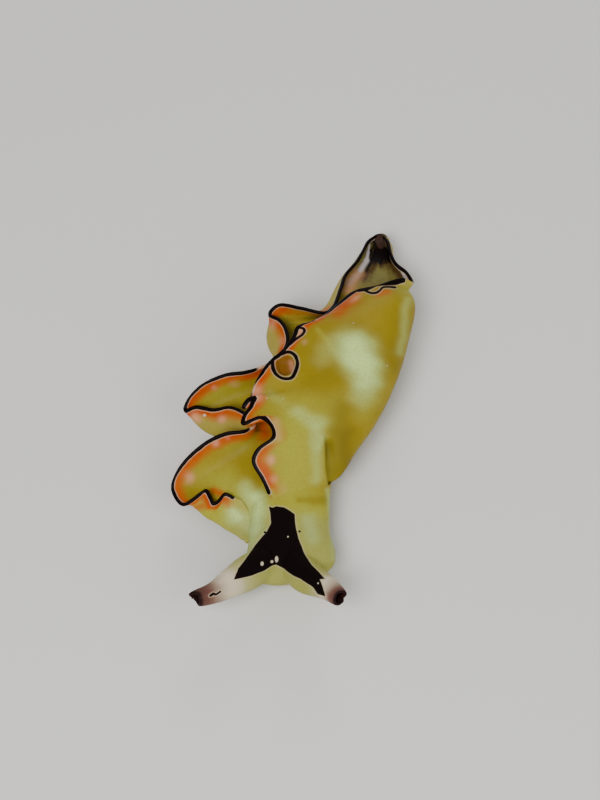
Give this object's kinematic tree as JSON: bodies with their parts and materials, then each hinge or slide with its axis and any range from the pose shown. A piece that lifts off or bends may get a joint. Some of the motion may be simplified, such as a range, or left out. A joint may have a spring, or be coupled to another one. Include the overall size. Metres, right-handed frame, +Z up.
{
  "type": "sea slug",
  "caption": "Crawling elysia sea slug with frilled, wing-like side flaps folded over its back, rolled rhinophores on the head and a flat sole. A still model.",
  "frame": {"origin": "on the sole's flat, under the middle of the body", "axes": "+Z up from the floor, +Y towards the tail, +X to the animal's left"},
  "size_m": [0.016, 0.0296, 0.0057],
  "materials": {
    "pale_skin": "wet, smooth",
    "olive_skin": "wet, smooth",
    "eye": "wet, smooth"
  },
  "bodies": {
    "root": {"head": "pale_skin", "neck": "pale_skin", "trunk_front": "olive_skin", "trunk_middle": "olive_skin", "trunk_rear": "olive_skin", "tail": "olive_skin", "tail_tip": "olive_skin", "foot_front": "pale_skin", "foot_middle": "pale_skin", "foot_rear": "pale_skin", "parapodium_left_front": "olive_skin", "parapodium_left_middle": "olive_skin", "parapodium_left_rear": "olive_skin", "parapodium_right_front": "olive_skin", "parapodium_right_middle": "olive_skin", "parapodium_right_rear": "olive_skin", "rhinophore_left": "pale_skin", "rhinophore_right": "pale_skin", "oral_lobe_left": "pale_skin", "oral_lobe_right": "pale_skin", "eye_left": "eye", "eye_right": "eye"}
  },
  "joints": []
}
